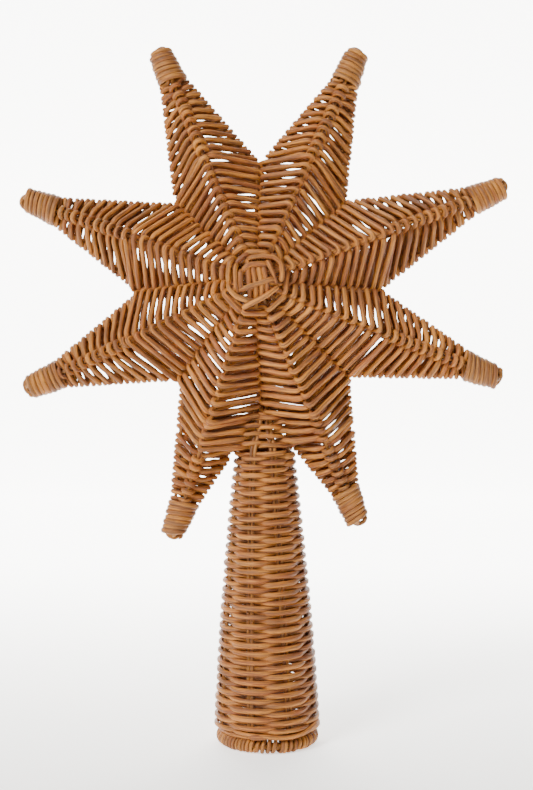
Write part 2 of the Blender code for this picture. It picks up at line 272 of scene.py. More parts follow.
def cane_mesh(name, canes, sides=8):
    """One mesh of round canes with rounded ends.

    Each cane is its points, outward directions, radius and width, where the width stretches its
    section sideways. The map holds each point's place round and along its cane in metres, and each
    cane has a number between 0 and 1 of its own, for its colour.
    """
    verts, faces, places, tones = [], [], [], []
    offset = 0
    angles = 2 * math.pi * (np.arange(sides) + 0.5) / sides - math.pi / 2
    for points, ups, radius, wide in canes:
        count = len(points)
        tangents = unit(np.gradient(points, axis=0))
        across = unit(np.cross(tangents, ups))
        ups = np.cross(across, tangents)
        uneven = chance.normal(0.0, 1.0, count + WAVER_POINTS - 1)
        uneven = np.convolve(uneven, np.ones(WAVER_POINTS) / WAVER_POINTS, mode="valid")
        thick = radius * (1 + THICKNESS_WAVER * uneven)
        thick[[0, -1]] *= END_THINNER
        radius = float(np.mean(radius))
        ring = (
            points[:, None, :]
            + thick[:, None, None] * wide * np.cos(angles)[None, :, None] * across[:, None, :]
            + thick[:, None, None] * np.sin(angles)[None, :, None] * ups[:, None, :]
        )
        beyond = radius * END_ROUND
        caps = np.stack((points[0] - tangents[0] * beyond, points[-1] + tangents[-1] * beyond))
        verts.append(np.concatenate((ring.reshape(-1, 3), caps)))
        run = lengths_along(points) + chance.uniform(0.0, 0.5)
        tones.append(np.full(len(verts[-1]), chance.uniform(0.0, 1.0)))
        girth = 2 * math.pi * radius * 0.5 * (1 + wide) / sides
        i = np.repeat(np.arange(count - 1), sides)
        j = np.tile(np.arange(sides), count - 1)
        here, there = i * sides, (i + 1) * sides
        nxt = (j + 1) % sides
        quads = np.stack((here + j, here + nxt, there + nxt, there + j), axis=1)
        faces.append((quads + offset, 4))
        corners = np.stack((
            np.stack((j * girth, run[i]), axis=1),
            np.stack(((j + 1) * girth, run[i]), axis=1),
            np.stack(((j + 1) * girth, run[i + 1]), axis=1),
            np.stack((j * girth, run[i + 1]), axis=1),
        ), axis=1)
        places.append(corners.reshape(-1, 2))
        j = np.arange(sides)
        nxt = (j + 1) % sides
        first_cap = count * sides
        last_ring = first_cap - sides
        near = np.stack((nxt, j, np.full(sides, first_cap)), axis=1)
        far = np.stack((last_ring + j, last_ring + nxt, np.full(sides, first_cap + 1)), axis=1)
        for cap, end in ((near, run[0]), (far, run[-1])):
            faces.append((cap + offset, 3))
            round_cap = np.repeat(j * girth, 3)
            places.append(np.stack((round_cap, np.full(3 * sides, end)), axis=1))
        offset += len(verts[-1])
    verts = np.concatenate(verts)
    loops = np.concatenate([corners.reshape(-1) for corners, _ in faces])
    sizes = np.concatenate([np.full(len(corners), size) for corners, size in faces])
    mesh = bpy.data.meshes.new(name)
    mesh.vertices.add(len(verts))
    mesh.vertices.foreach_set("co", verts.astype(np.float32).ravel())
    mesh.loops.add(len(loops))
    mesh.loops.foreach_set("vertex_index", loops.astype(np.int32))
    mesh.polygons.add(len(sizes))
    starts = np.concatenate(([0], np.cumsum(sizes)[:-1]))
    mesh.polygons.foreach_set("loop_start", starts.astype(np.int32))
    mesh.update(calc_edges=True)
    layer = mesh.uv_layers.new(name="cane")
    layer.data.foreach_set("uv", np.concatenate(places).astype(np.float32).ravel())
    tone = mesh.attributes.new("tone", "FLOAT", "POINT")
    tone.data.foreach_set("value", np.concatenate(tones).astype(np.float32))
    mesh.shade_smooth()
    mesh.validate()
    piece = bpy.data.objects.new(name, mesh)
    bpy.context.scene.collection.objects.link(piece)
    return piece


def linear(colour):
    """An sRGB hex colour as linear red, green, blue and alpha."""
    channels = [int(colour[i : i + 2], 16) / 255 for i in (0, 2, 4)]
    return [c / 12.92 if c <= 0.04045 else ((c + 0.055) / 1.055) ** 2.4 for c in channels] + [1.0]


def add(tree, kind, inputs=(), **settings):
    """Adds a node with its settings. An input is a value, or another node's output to link from."""
    node = tree.nodes.new(kind)
    for name, value in settings.items():
        setattr(node, name, value)
    for name, value in dict(inputs).items():
        if isinstance(value, bpy.types.NodeSocket):
            tree.links.new(value, node.inputs[name])
        else:
            node.inputs[name].default_value = value
    return node


# The stain takes in patches about 4 mm wide and 22 mm long, redder in some that are a little larger.
# It also gathers in streaks along a cane, about 0.8 mm apart.
PATCH = (0.004, 0.022)
RED_PATCH = (0.006, 0.030)
STREAK = 0.0008
# How many times its own width each of these is long.
STREAK_LONG = 22
FIBRE_LONG = 34
PORE_LONG = 11.25
# A pore is this share of a fibre's width. A groove between fibres is this deep.
PORE_SHARE = 0.8
GROOVE_DEPTH = 0.00018
# How far apart two canes can lie in the noise that colours them.
OWN_PATTERN = 40.0


def stained_rattan(name, pale, honey, deep, russet, fibre, roughness):
    """Peeled rattan core under a thin brown stain and a satin lacquer.

    The stain takes unevenly along each cane and sinks into the pores between the fibres, which run
    lengthwise. The lacquer gives a soft sheen that breaks up along the fibres.
    """
    material = bpy.data.materials.new(name)
    material.use_nodes = True
    tree = material.node_tree
    shader = tree.nodes["Principled BSDF"]
    place = add(tree, "ShaderNodeUVMap", uv_map="cane").outputs["UV"]
    tone = add(tree, "ShaderNodeAttribute", attribute_name="tone").outputs["Fac"]
    own = add(tree, "ShaderNodeMath", {0: tone, 1: OWN_PATTERN}, operation="MULTIPLY").outputs[0]

    def noise(across, length, detail, rough=0.5):
        """Noise whose grain is this many metres across the cane and along it."""
        inputs = {0: place, 1: (1 / across, 1 / length, 0)}
        scaled = add(tree, "ShaderNodeVectorMath", inputs, operation="MULTIPLY").outputs[0]
        inputs = {"Vector": scaled, "W": own, "Scale": 1.0, "Detail": detail, "Roughness": rough}
        return add(tree, "ShaderNodeTexNoise", inputs, noise_dimensions="4D").outputs["Fac"]

    def remap(value, low, high, to_low=0.0, to_high=1.0):
        inputs = {"Value": value, "From Min": low, "From Max": high, "To Min": to_low, "To Max": to_high}
        return add(tree, "ShaderNodeMapRange", inputs).outputs["Result"]

    def mix(share, first, second):
        """The first colour where the share is 0, and the second where it is 1."""
        inputs = {0: share, 6: first, 7: second}
        return add(tree, "ShaderNodeMix", inputs, data_type="RGBA").outputs[2]

    patches = noise(*PATCH, 2.0)
    streaks = noise(STREAK, STREAK * STREAK_LONG, 2.0, 0.6)
    fibres = noise(fibre, fibre * FIBRE_LONG, 3.0, 0.6)
    pore = fibre * PORE_SHARE
    pores = noise(pore, pore * PORE_LONG, 1.0)
    redness = noise(*RED_PATCH, 2.0)
    colour = mix(remap(patches, 0.40, 0.60), linear(honey), linear(pale))
    colour = mix(remap(redness, 0.48, 0.62, 0.0, 0.6), colour, linear(russet))
    colour = mix(remap(tone, 0.0, 1.0, 0.0, 0.34), colour, linear(deep))
    colour = mix(remap(streaks, 0.49, 0.60, 0.0, 0.62), colour, linear(deep))
    colour = mix(remap(streaks, 0.38, 0.47, 0.6, 0.0), colour, linear(pale))
    colour = mix(remap(fibres, 0.48, 0.62, 0.0, 0.55), colour, linear(deep))
    colour = mix(remap(pores, 0.60, 0.70, 0.0, 0.75), colour, linear(deep))
    tree.links.new(colour, shader.inputs["Base Color"])
    sheen = remap(fibres, 0.3, 0.75, roughness - 0.06, roughness + 0.16)
    tree.links.new(sheen, shader.inputs["Roughness"])
    grooves = add(tree, "ShaderNodeMath", {0: fibres, 1: pores}, operation="ADD").outputs[0]
    inputs = {"Height": grooves, "Strength": 0.8, "Distance": GROOVE_DEPTH}
    bump = add(tree, "ShaderNodeBump", inputs, invert=True)
    tree.links.new(bump.outputs["Normal"], shader.inputs["Normal"])
    shader.inputs["IOR"].default_value = 1.5
    shader.inputs["Specular IOR Level"].default_value = 0.22
    shader.inputs["Coat Weight"].default_value = 0.02
    shader.inputs["Coat Roughness"].default_value = 0.30
    return material


# Honey-stained rattan core, 2.5 mm thick. Its fibres are 0.1 mm apart, drawn a little coarser.
WEAVER_FIBRE = 0.00022
weaver_rattan = stained_rattan(
    "stained_rattan_core", pale="CE8536", honey="A65E26", deep="58402E", russet="8C4622",
    fibre=WEAVER_FIBRE, roughness=0.46,
)
# The thinner core of the stakes took the stain a little darker and is duller.
stake_rattan = stained_rattan(
    "stained_rattan_stake", pale="C08038", honey="9C602A", deep="5A4230", russet="844A28",
    fibre=WEAVER_FIBRE, roughness=0.48,
)

front_outside, front_tops = star_stakes(-1)
back_outside, back_tops = star_stakes(1)
front_lines = inner_lines(front_outside[::-1])
back_lines = inner_lines(back_outside)
SWING = WEAVER_RADIUS + STAKE_RADIUS
# In the round by the hub the weavers take the stakes in eight pairs. Further out they take all
# sixteen one by one.
PAIRED_FIRST = 1.0
PAIRED_ROWS = 1
PAIRED_APART = 0.0010
FACE_FIRST = PAIRED_FIRST + PAIRED_ROWS
FACE_LAST = 14.10
FACE_APART = 0.0011
FRONT_START = 6
BACK_START = 12
for name, lines, start in (
    ("star_front_weavers", front_lines, FRONT_START),
    ("star_back_weavers", back_lines, BACK_START),
):
    lines = np.roll(lines, -start, axis=0)
    canes = []
    for over in (0, 1):
        paired = twined(
            lines[::2], PAIRED_FIRST / FACE_ROWS, PAIRED_ROWS, over, SWING, PAIRED_APART, 1 / FACE_ROWS
        )
        single = twined(
            lines, FACE_FIRST / FACE_ROWS, FACE_LAST - FACE_FIRST, over, SWING, FACE_APART, 1 / FACE_ROWS
        )
        joined = [np.concatenate(both) for both in zip(paired, single)]
        points, ups = even_steps(*joined, CORE_STEP, CORE_BLUR)
        from_hub = np.linalg.norm((points - STAR_CENTRE - HUB_SHIFT)[:, (0, 2)], axis=1)
        thicker = HUB_THICKER * (1 - smooth((from_hub - THICKER_TO) / THINNED_OVER))
        canes.append((points, ups, WEAVER_RADIUS + thicker, 1.0))
    piece = cane_mesh(name, canes)
    piece.data.materials.append(weaver_rattan)
    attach(piece, "root")
    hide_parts("star_body")

# Arms
# Past the valleys each arm is a tapered tube: a ridge stake in front and behind, and two valley stakes
# down each edge. Two weavers twine round the six of them up to the binding.
ARM_ROWS = 10
ARM_RADIUS = 0.0079
EDGE_PAIR = 0.0016
ARM_SWING = 0.85 * SWING
# The arm's weavers change places close to the ridges, and in the middle of each edge.
ARM_CHANGES = (-0.0030, 0.0030, 1.0, -0.0030, 0.0030, 1.0)
ARM_HALF = 0.0028
ARM_CLIMBS = (0.0, 0.25, 0.5, 0.5, 0.75, 1.0)
ARM_HUGS = (1, 0, 1, 1, 0, 1)
# The first row lies this many rows past the last one of the face or the join, but starts no sooner
# than this share of the arm. The last row ends this share of the arm under the binding.
ROW_GAP = 0.05
ARM_SOONEST = -0.03
UNDER_BINDING = 0.03
# The two lowest arms' weavers start past the rows that join them to the cone.
JOINED_ARMS = (5, 6)
JOINED_ROWS = 4


def arm_axis(k):
    """The arm's direction from the star's centre, and the direction across it in the star's plane."""
    lean = ARM_TURN * (k + 0.5) + ARM_LEAN[k]
    return turned(lean, 1.0), turned(lean + 90, 1.0)


def arm_lines(k):
    """Outside lines of an arm's stakes, clockwise as the front shows them from the left-hand edge."""
    out, side = arm_axis(k)
    middle = STAR_CENTRE + out * (ARM_REACH[k] - BINDING_AND_KNOB)
    edge_after = np.array((STAR_CENTRE + valley_point(k + 1), middle + side * ARM_RADIUS))
    edge_before = np.array((STAR_CENTRE + valley_point(k), middle - side * ARM_RADIUS))
    front = (front_outside[2 * k + 1][1], front_tops[k])
    back = (back_outside[2 * k + 1][1], back_tops[k])
    apart = EDGE_PAIR * DEPTHWISE
    return np.array((
        edge_after - apart, front, edge_before - apart, edge_before + apart, back, edge_after + apart,
    ))


def last_face_row(spoke):
    """How far along this stake of the front the face's last row lies, as a share."""
    met = (SPOKES - 1 - spoke - FRONT_START) % SPOKES / SPOKES
    rounds = math.floor(FACE_LAST - FACE_FIRST - met)
    return (FACE_FIRST + rounds + met) / FACE_ROWS


arm_canes = []
for k in range(ARMS):
    lines = inner_lines(arm_lines(k))
    if k in JOINED_ARMS:
        first = (JOINED_ROWS + ROW_GAP) / ARM_ROWS
    else:
        rows_past = last_face_row(2 * k + 1) * FACE_ROWS + ROW_GAP - FACE_ROWS
        first = max(rows_past / ARM_ROWS, ARM_SOONEST)
    rounds = (1 + UNDER_BINDING - first) * ARM_ROWS
    for over in (0, 1):
        later = 0.5 * over
        arm_canes.append(woven_core(*twined(
            lines, first + later / ARM_ROWS, rounds - later, over, ARM_SWING, 0.0, 1 / ARM_ROWS,
            ARM_CHANGES, ARM_HALF, ARM_CLIMBS, ARM_HUGS,
        )))
piece = cane_mesh("arm_weavers", arm_canes)
piece.data.materials.append(weaver_rattan)
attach(piece, "root")
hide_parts("star_body")

# Join of star and cone
# Below the lowest valley the weavers take in the cone's front and back stakes with the two lower
# arms, so these rows tie the cone into the star. A short end of weaver is tucked in above them.
JOIN_ROUNDS = 4.1
JOIN_LATER = 0.4
JOIN_SWING = 0.0018
JOIN_APART = 0.0003
JOIN_CHANGES = (-0.0026, 0.0026) + (0.0042,) * 3 + (0.0026, 1.0, -0.0026) + (0.0042,) * 4 + (0.0026, 1.0)
JOIN_HALF = 0.0036
# The cone's three front stakes, from the star's lowest valley down to the cone's top.
NECK_FRONT = (
    ((0.0098, -0.0070, 0.1638), (0.0142, -0.0090, 0.1455)),
    ((0.0025, -0.0092, 0.1638), (0.0036, -0.0140, 0.1455)),
    ((-0.0050, -0.0078, 0.1638), (-0.0068, -0.0124, 0.1455)),
)
# The tucked end on each side: its places to the right, its shares of the depth and its heights.
TUCK_DEPTH = 0.0062
TUCK = ((-0.0034, 0.4, 0.1640), (-0.0014, 1.0, 0.1634), (0.0016, 1.08, 0.1622), (0.0040, 0.6, 0.1604))
neck_back = [tuple((x, -y, z) for x, y, z in line) for line in reversed(NECK_FRONT)]
low_left, low_right = (
    [(line[0], between(line, JOINED_ROWS / ARM_ROWS)) for line in arm_lines(k)] for k in JOINED_ARMS
)
join_lines = inner_lines(np.array((
    *low_right[:2], *NECK_FRONT, *low_left[1:5], *neck_back, *low_right[4:],
)))
join_canes = []
for over in (0, 1):
    later = JOIN_LATER * over
    join_canes.append(woven_core(*twined(
        join_lines, later / JOINED_ROWS - ROW_GAP, JOIN_ROUNDS - later, over, JOIN_SWING, JOIN_APART,
        1 / JOINED_ROWS, JOIN_CHANGES, JOIN_HALF,
    )))
for side in (-1, 1):
    tuck = [(x, side * TUCK_DEPTH * deep, z) for x, deep, z in TUCK]
    facing = np.tile(side * DEPTHWISE, (len(tuck), 1))
    join_canes.append(woven_core(tuck, facing, step=0.0008))
piece = cane_mesh("join_weavers", join_canes)
piece.data.materials.append(weaver_rattan)
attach(piece, "root")
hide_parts("star_body")

# Star stakes
# Each stake is one length of core. The ridge stakes run from the hub to the tip. The valley stakes lie
# in pairs that part at the valleys, one up each arm. Ends are bent over the tips in small loops.
KNOB_LENGTH = 0.0032
RIDGE_STAKE = 0.90 * STAKE_RADIUS
VALLEY_STAKE = 0.86 * STAKE_RADIUS
STAKE_STEP = 0.0030
STAKE_BLUR = 0.0014
# How far the stakes are sunk towards the star's hollow, and how far each of a pair lies aside.
SUNK = 0.0013
VALLEY_PAIR = 0.0009
# In the binding the stakes draw in to this distance from the arm's axis. A point at this share of the
# way keeps them straight.
TIP_SPREAD = 0.0024
STRAIGHT_AT = 0.55
# Shares of its line at which a ridge stake and a valley stake leave the face, and enter the arm.
RIDGE_ON_FACE, RIDGE_ON_ARM = 0.88, 0.15
VALLEY_ON_FACE, VALLEY_ON_ARM = 0.94, 0.12
# A valley stake's outward side is turned this much towards the tip.
VALLEY_FACING = 0.2
# A loop's ends are sunk in the binding by the tail, and its bend is squarer than a half circle.
LOOP_RADIUS = 0.00128
LOOP_SUNK = 0.0008
LOOP_TAIL = 0.004
LOOP_ROUNDNESS = 0.75
# For each arm: how far its loop is turned from the star's plane, its shift to the left, its half width.
TIP_LOOPS = (
    (12, 0.0012, 0.0028), (-20, 0.0004, 0.0034), (8, -0.0004, 0.0030), (15, 0.0010, 0.0028),
    (-10, -0.0003, 0.0037), (35, 0.0002, 0.0034), (6, 0.0010, 0.0032), (-4, 0.0, 0.0039),
)
stake_canes = []


def along_arm(k, line, share, spread):
    """Points of a stake from this share of an arm's line to the tip, drawn together in the binding."""
    out, side = arm_axis(k)
    end = STAR_CENTRE + out * (ARM_REACH[k] - KNOB_LENGTH) + side * spread[0] + spread[1] * DEPTHWISE
    return [*(between(line, s) for s in (share, 0.75, 1.0)), between((line[1], end), STRAIGHT_AT), end]


def front_line(spoke):
    """The front stake with this number. The front's stakes are met the other way round."""
    return front_lines[(SPOKES - 1 - spoke) % SPOKES]


def tip_loop(k, degrees, shift, half_width, rise):
    """A stake's end bent over the tip of arm k, turned this far from the star's plane."""
    out, side = arm_axis(k)
    base = STAR_CENTRE + out * (ARM_REACH[k] - KNOB_LENGTH - LOOP_SUNK) + side * shift
    across = side * math.cos(math.radians(degrees)) + DEPTHWISE * math.sin(math.radians(degrees))
    loop = []
    for turn in np.linspace(0, math.pi, 13):
        bow = math.copysign(abs(math.cos(turn)) ** LOOP_ROUNDNESS, math.cos(turn))
        loop.append(base + across * half_width * bow + out * (rise - LOOP_RADIUS) * math.sin(turn))
    loop = [loop[0] - out * LOOP_TAIL, *loop, loop[-1] - out * LOOP_TAIL]
    facing = np.tile(np.cross(across, out), (len(loop), 1))
    return woven_core(loop, facing, LOOP_RADIUS, step=0.0006, blur=0.0003)


for k in range(ARMS):
    lines = inner_lines(arm_lines(k))
    out = arm_axis(k)[0]
    ridge = 2 * k + 1
    for face, line, depth in ((front_line(ridge), lines[1], -1), (back_lines[ridge], lines[4], 1)):
        sunk = depth * SUNK * DEPTHWISE
        run = [between(face, share) for share in (0.0, 0.5, RIDGE_ON_FACE)]
        run += along_arm(k, line, RIDGE_ON_ARM, (0.0, depth * TIP_SPREAD))
        run = [point - sunk for point in run[:-2]] + run[-2:]
        facing = np.tile(depth * DEPTHWISE, (len(run), 1))
        stake_canes.append(woven_core(run, facing, RIDGE_STAKE, STAKE_STEP, STAKE_BLUR))
    after = (k + 1) % ARMS
    for face, valley, line, way in (
        (front_line(2 * after), after, lines[0], 1),
        (back_lines[2 * after], after, lines[5], 1),
        (front_line(2 * k), k, lines[2], -1),
        (back_lines[2 * k], k, lines[3], -1),
    ):
        beside = turned(ARM_TURN * valley + VALLEY_LEAN[valley] - 90 * way, VALLEY_PAIR)
        beside[1] -= math.copysign(SUNK, face[0][1])
        run = [face[0], *(between(face, share) + beside for share in (0.5, VALLEY_ON_FACE))]
        run += along_arm(k, line, VALLEY_ON_ARM, (way * TIP_SPREAD, 0.0))
        facing = np.tile(out * VALLEY_FACING + DEPTHWISE, (len(run), 1))
        stake_canes.append(woven_core(run, facing, VALLEY_STAKE, STAKE_STEP, STAKE_BLUR))
    # Two lower loops cross under the one that shows.
    degrees, shift, half_width = TIP_LOOPS[k]
    stake_canes.append(tip_loop(k, degrees, shift, half_width, rise=0.0040))
    stake_canes.append(tip_loop(k, degrees + 78, -0.6 * shift, 0.0032, rise=0.0029))
    stake_canes.append(tip_loop(k, degrees + 40, -1.2 * shift, 0.0036, rise=0.0022))
piece = cane_mesh("star_stakes", stake_canes)
piece.data.materials.append(stake_rattan)
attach(piece, "root")
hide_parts("star_body")

# Hub crossings
# The stakes cross in the middle of each face: upright ones on top of flat-lying ones. The first
# weavers lock them in a small lopsided square, each laid over the four stakes of one side.
CROSSING_STEP = 0.0011
CROSSING_BLUR = 0.0008
# Each core's points are places to the right of the hub and above it. Its depths are from the star's
# middle plane, and its ends go under the first rows.
UPRIGHT_RADIUS = 0.00124
UPRIGHT_DEPTHS = (0.0335, 0.0366, 0.0366, 0.0335)
UPRIGHTS = (
    ((-0.0040, 0.0100), (-0.0038, 0.0048), (-0.0031, -0.0034), (-0.0030, -0.0100)),
    ((-0.0016, 0.0100), (-0.0013, 0.0050), (-0.0002, -0.0027), (0.0002, -0.0100)),
    ((0.0008, 0.0100), (0.0012, 0.0052), (0.0027, -0.0018), (0.0030, -0.0100)),
    ((0.0034, 0.0100), (0.0037, 0.0052), (0.0050, -0.0006), (0.0056, -0.0090)),
)
FLAT_RADIUS = 0.00120
FLAT_DEPTHS = (0.0325, 0.0346, 0.0346, 0.0325)
FLAT_LYING = (-0.0040, -0.0014, 0.0012, 0.0040)
# The flat-lying ones run straight this far either side of the hub, and end further out and apart.
FLAT_STRAIGHT = 0.0060
FLAT_END = 0.0125
FLAT_SPREAD = 1.3
# Each weaver's depth and its points. Its start goes under by the first value and its end by the other.
WEAVER_UNDER = (0.0030, 0.0026)
HUB_WEAVERS = (
    (0.0374, ((-0.0066, 0.0030), (-0.0050, 0.0056), (-0.0025, 0.0071), (0.0030, 0.0072), (0.0064, 0.0069))),
    (0.0373, ((-0.0086, -0.0052), (-0.0050, -0.0042), (0.0020, -0.0017), (0.0066, -0.0001),
              (0.0090, 0.0003))),
    (0.0370, ((-0.0068, 0.0046), (-0.0072, 0.0026), (-0.0071, -0.0028), (-0.0064, -0.0052))),
    (0.0364, ((-0.0090, 0.0076), (-0.0098, 0.0050), (-0.0094, -0.0030), (-0.0078, -0.0070))),
    (0.0368, ((0.0050, 0.0092), (0.0062, 0.0072), (0.0080, 0.0030), (0.0098, -0.0024))),
    (0.0366, ((-0.0040, 0.0094), (-0.0020, 0.0104), (0.0029, 0.0110), (0.0080, 0.0106), (0.0118, 0.0080),
              (0.0124, 0.0026), (0.0118, -0.0010))),
    (0.0366, ((-0.0062, -0.0132), (-0.0036, -0.0120), (0.0020, -0.0092), (0.0060, -0.0068),
              (0.0112, -0.0026))),
    (0.0360, ((-0.0132, -0.0012), (-0.0126, -0.0046), (-0.0092, -0.0080), (-0.0040, -0.0100),
              (0.0, -0.0098))),
    (0.0360, ((-0.0104, 0.0106), (-0.0124, 0.0080), (-0.0132, 0.0030), (-0.0130, -0.0016))),
)


def crossing_core(side, flat, depths, radius):
    """One core of a crossing. The back's crossing is the front's, turned a quarter."""
    if side > 0:
        flat = [(z, -x) for x, z in flat]
    hub = STAR_CENTRE + HUB_SHIFT
    points = [hub + (x, side * depth, z) for (x, z), depth in zip(flat, depths)]
    facing = np.tile(side * DEPTHWISE, (len(points), 1))
    return woven_core(points, facing, radius, CROSSING_STEP, CROSSING_BLUR)


for name, side in (("hub_crossing_front", -1), ("hub_crossing_back", 1)):
    canes = [crossing_core(side, upright, UPRIGHT_DEPTHS, UPRIGHT_RADIUS) for upright in UPRIGHTS]
    for height in FLAT_LYING:
        end = height * FLAT_SPREAD
        flat = ((-FLAT_END, end), (-FLAT_STRAIGHT, height), (FLAT_STRAIGHT, height), (FLAT_END, end))
        canes.append(crossing_core(side, flat, FLAT_DEPTHS, FLAT_RADIUS))
    for depth, flat in HUB_WEAVERS:
        depths = [depth - WEAVER_UNDER[0]] + [depth] * (len(flat) - 2) + [depth - WEAVER_UNDER[1]]
        canes.append(crossing_core(side, flat, depths, WEAVER_RADIUS))
    piece = cane_mesh(name + "_canes", canes)
    piece.data.materials.append(weaver_rattan)
    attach(piece, "root")
    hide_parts(name)

# Tip bindings
# A length of the same core, hammered flatter, is wound tightly round the last 16 mm of each arm over
# the ends of its stakes and weavers. Each of the seven turns lies against the last one on a slant.
BINDING_LENGTH = 0.0165
WOUND_LENGTH = BINDING_LENGTH + 0.0004
BINDING_START = 0.0003
BINDING_PITCH = 0.00238
BINDING_END_RADIUS = 0.0060
REED_RADIUS = 0.00092
REED_WIDE = 1.38
# Over the last tenth of its length the winding closes in by this share of its radius.
CLOSING_FROM = 0.90
CLOSES_IN = 0.22
# How the turns stray outwards and along the arm: every so many radians of winding, and how far.
UNEVEN = (3.1, 0.00013)
STRAY = (2.2, 0.00010)
RADIANS_A_POINT = 0.2
# Which way each arm is wound, and how much nearer the tip the turns lie on its right-hand side.
WINDING = (
    (1, 0.0002), (-1, -0.0002), (-1, -0.0006), (1, 0.0012),
    (1, -0.0010), (1, 0.0022), (1, 0.0018), (1, 0.0024),
)
# The hammered core took the stain a little darker. Its fibres are drawn 0.2 mm apart.
wound_reed = stained_rattan(
    "stained_fine_reed", pale="C28034", honey="9E5E26", deep="58402E", russet="844624",
    fibre=0.00020, roughness=0.46,
)


def waver(run, every, amount):
    """A slow unevenness along a run of values, with a new value at each step of this length."""
    knots = np.arange(0, run[-1] + 2 * every, every)
    return np.interp(run, knots, chance.normal(0, amount, len(knots)))


for k in range(ARMS):
    out, side = arm_axis(k)
    base = STAR_CENTRE + out * (ARM_REACH[k] - BINDING_AND_KNOB + BINDING_START)
    way, slant = WINDING[k]
    angles = np.arange(0, WOUND_LENGTH / BINDING_PITCH * 2 * math.pi, RADIANS_A_POINT)
    run = angles / (2 * math.pi) * BINDING_PITCH
    share = run / WOUND_LENGTH
    radius = ARM_RADIUS + (BINDING_END_RADIUS - ARM_RADIUS) * share - REED_RADIUS
    radius += waver(angles, *UNEVEN)
    radius *= 1 - CLOSES_IN * np.clip((share - CLOSING_FROM) / (1 - CLOSING_FROM), 0, 1) ** 2
    outward = np.cos(angles)[:, None] * side - way * np.sin(angles)[:, None] * DEPTHWISE
    tilt = waver(angles, *STRAY) - 0.5 * slant * np.cos(angles)
    tilt *= smooth(share * 6 + 0.4) * smooth((1 - share) * 6 + 0.2)
    points = base + out * (run + tilt)[:, None] + outward * radius[:, None]
    piece = cane_mesh(f"tip_binding_{k + 1}_reed", [(points, outward, REED_RADIUS, REED_WIDE)], sides=10)
    piece.data.materials.append(wound_reed)
    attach(piece, "root")
    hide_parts(f"tip_binding_{k + 1}")

# Cone
# One thicker weaver goes over and under seven double stakes. As seven is odd, each turn goes over
# the stakes that the turn below it went under. The stakes run on up into the star.
CONE_X = 0.0016
CONE_LEAN = -0.0012
CONE_FOOT = 0.0073
CONE_SHOULDER = 0.1490
CONE_FOOT_RADIUS = 0.0253
CONE_SHOULDER_RADIUS = 0.0133
CONE_CREST = 0.0016
CONE_BULGE = 0.0011
# Where the stakes stand round the cone, in degrees to the right of its front. They lean a little left.
CONE_STAKES = 7
CONE_STAKE_TURNS = (-19.0, 28.0, 82.0, 131.0, 182.0, 237.0, 291.0)
CONE_STAKE_LEAN = -9.0
CONE_STAKE_RADIUS = 0.00092
CONE_STAKES_SUNK = 0.0004
# The rows start over the foot and end under the shoulder. They lie closer together further up.
FIRST_ROW_OVER = 0.0012
LAST_ROW_UNDER = 0.0030
CONE_FOOT_PITCH = 0.00226
CONE_SHOULDER_PITCH = 0.00206
CONE_WEAVER_RADIUS = 0.00134
CONE_SWING = 0.00142
# How squarely the weaver bends over a stake, with this many points from one to the next.
CONE_SQUARENESS = 1.5
POINTS_A_STAKE = 20
CONE_BLUR = 0.0006
# How much the rows sag in front, most at this many radians to the left, once this many are woven.
CONE_SAG = 0.0012
SAG_TURN = 0.2
SAG_ROWS = 5
CONE_WANDER = 0.00020


def up_cone(height):
    """How far up the cone this height is, as a share."""
    return (height - CONE_FOOT) / (CONE_SHOULDER - CONE_FOOT)


def cone_radius(height):
    """Radius of the cone's stakes at this height."""
    taper = up_cone(height)
    outside = CONE_FOOT_RADIUS + (CONE_SHOULDER_RADIUS - CONE_FOOT_RADIUS) * taper + CONE_CREST
    taper = np.clip(taper, 0, 1)
    return outside + CONE_BULGE * 4 * taper * (1 - taper) - CONE_WEAVER_RADIUS - CONE_SWING


def cone_turn(passed, height):
    """The angle round the cone, in radians, after this many stakes."""
    places = np.array(CONE_STAKE_TURNS + (CONE_STAKE_TURNS[0] + 360,))
    rounds = np.floor(passed / CONE_STAKES)
    place = np.interp(passed - CONE_STAKES * rounds, np.arange(CONE_STAKES + 1), places)
    return np.radians(place + 360 * rounds + CONE_STAKE_LEAN * up_cone(height))


def on_cone(turns, heights, radii):
    """Points round the cone's axis and their outward directions."""
    outward = np.stack((np.sin(turns), -np.cos(turns), np.zeros_like(turns)), axis=1)
    aside = CONE_X + CONE_LEAN * np.clip(heights / CONE_SHOULDER, 0, 1)
    middle = np.stack((aside, np.zeros_like(turns), heights), axis=1)
    return middle + outward * radii[:, None], outward


rows_height = CONE_SHOULDER - LAST_ROW_UNDER - CONE_FOOT - FIRST_ROW_OVER
cone_rounds = 2 * rows_height / (CONE_FOOT_PITCH + CONE_SHOULDER_PITCH)
passed = np.arange(0, cone_rounds * CONE_STAKES, 1 / POINTS_A_STAKE)
rounds = passed / CONE_STAKES
height = CONE_FOOT + FIRST_ROW_OVER + CONE_FOOT_PITCH * rounds
height -= (CONE_FOOT_PITCH - CONE_SHOULDER_PITCH) / (2 * cone_rounds) * rounds ** 2
turn = cone_turn(passed, height)
lift = np.tanh(CONE_SQUARENESS * np.cos(math.pi * passed)) / math.tanh(CONE_SQUARENESS)
sag = CONE_SAG * np.cos(turn + SAG_TURN) * smooth(rounds / SAG_ROWS)
wander = waver(passed, 1.0, CONE_WANDER) - sag
points, outward = on_cone(turn, height + wander, cone_radius(height) + CONE_SWING * lift)
cone_canes = [woven_core(points, outward, CONE_WEAVER_RADIUS, blur=CONE_BLUR)]
